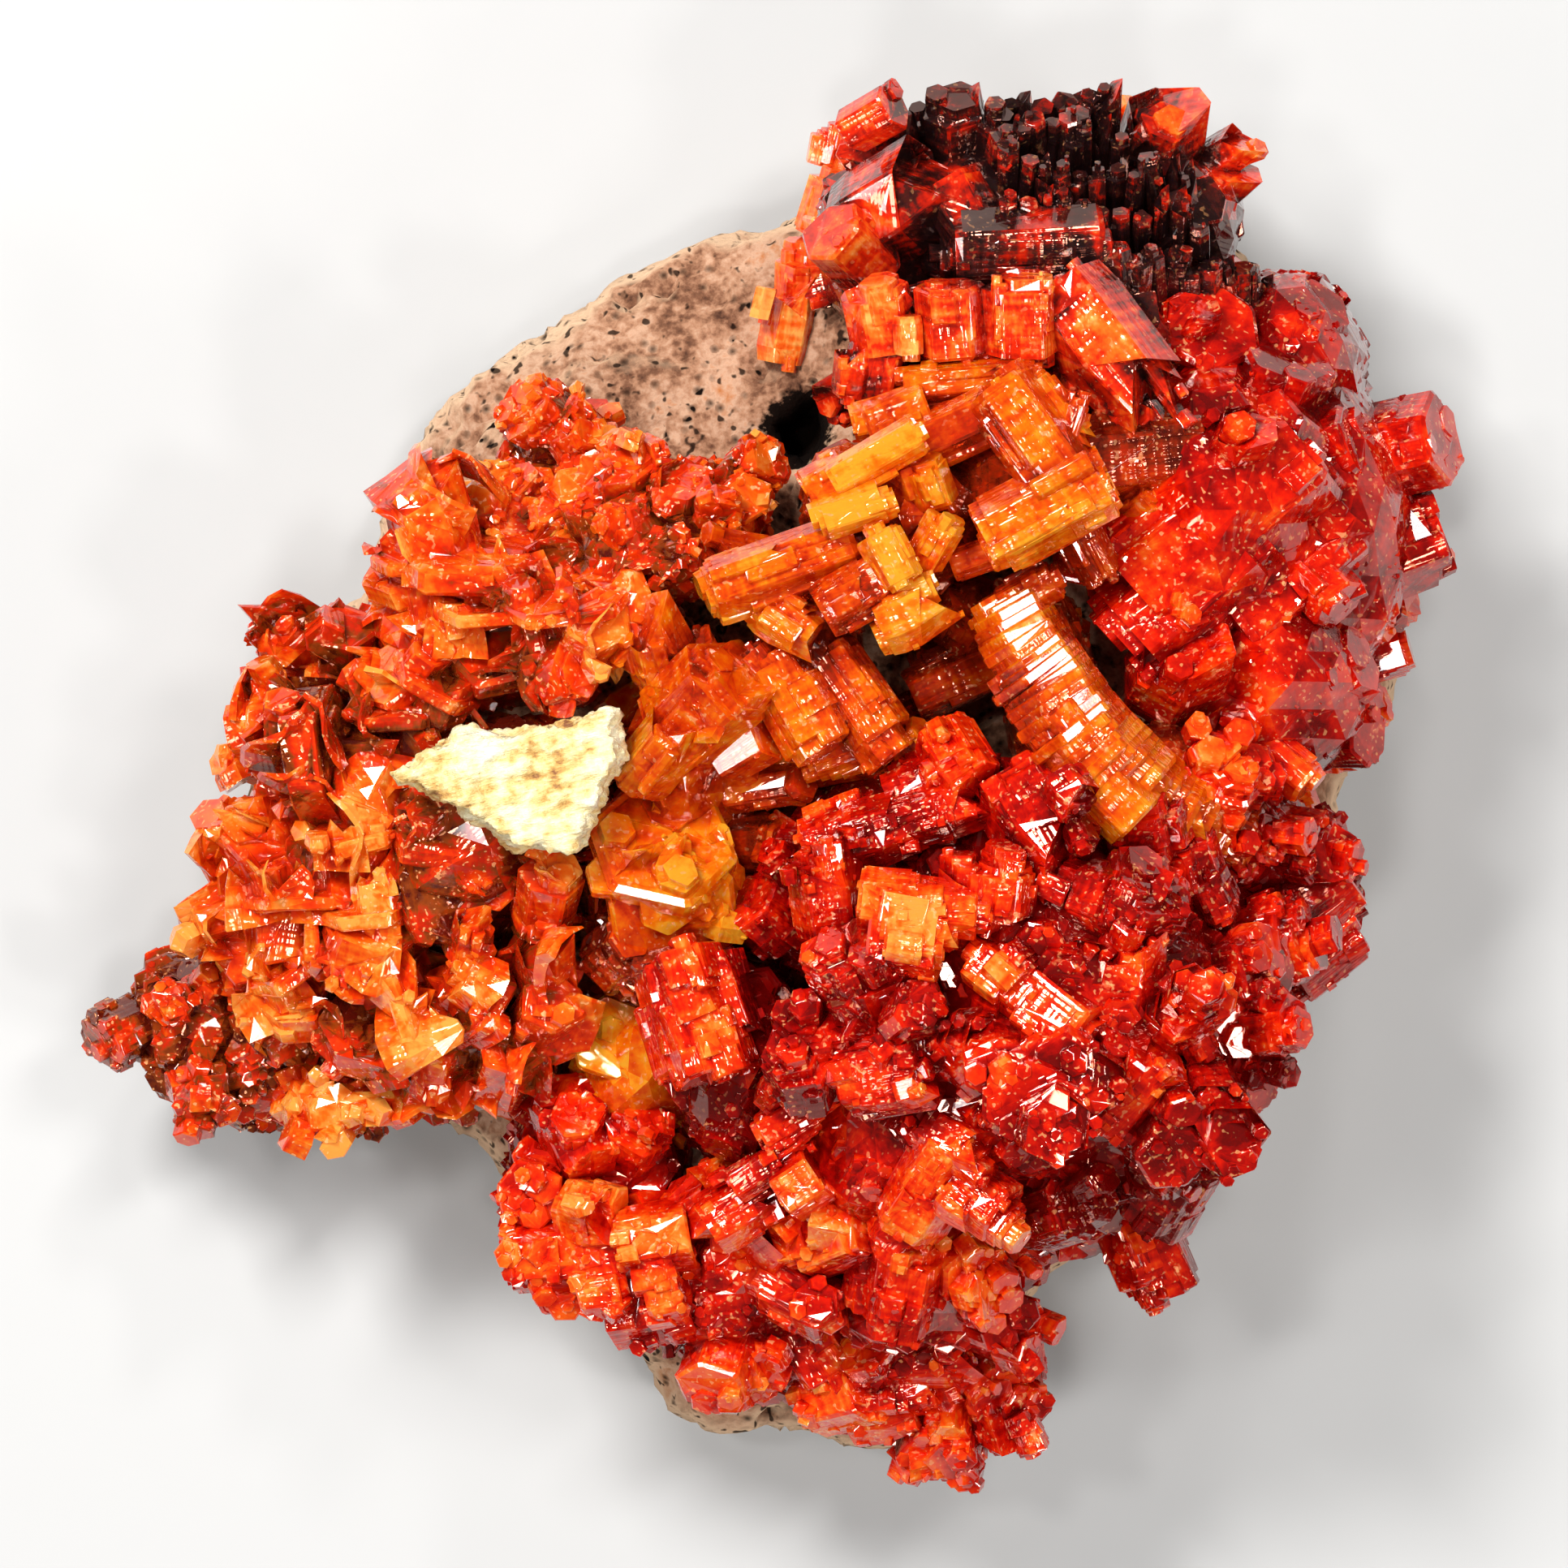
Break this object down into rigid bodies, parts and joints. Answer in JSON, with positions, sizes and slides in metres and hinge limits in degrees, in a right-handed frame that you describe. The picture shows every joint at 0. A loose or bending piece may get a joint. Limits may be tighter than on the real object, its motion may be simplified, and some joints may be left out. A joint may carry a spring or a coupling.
{
  "type": "mineral specimen",
  "caption": "Loose hand specimen of red-orange, six-sided vanadinite crystals grown as a glassy crust over tan, porous rock, with a flake of cream barite.",
  "frame": {"origin": "middle of the specimen's box in X and Y, at the level of the broken back that it lies on", "axes": "+Z out of the crystals, away from the broken back; +Y towards the dark-tipped ridge; +X towards the side with the deep red crystals"},
  "size_m": [0.0424, 0.0432, 0.0196],
  "materials": {
    "rock": "dull, porous, tan",
    "vanadinite": "resinous gloss, see-through deep red to orange, with dark tips",
    "barite": "chalky, cream, fibrous"
  },
  "bodies": {
    "root": {"rock_matrix": "rock", "vanadinite_crust": "vanadinite", "barite_flake": "barite"}
  },
  "joints": []
}
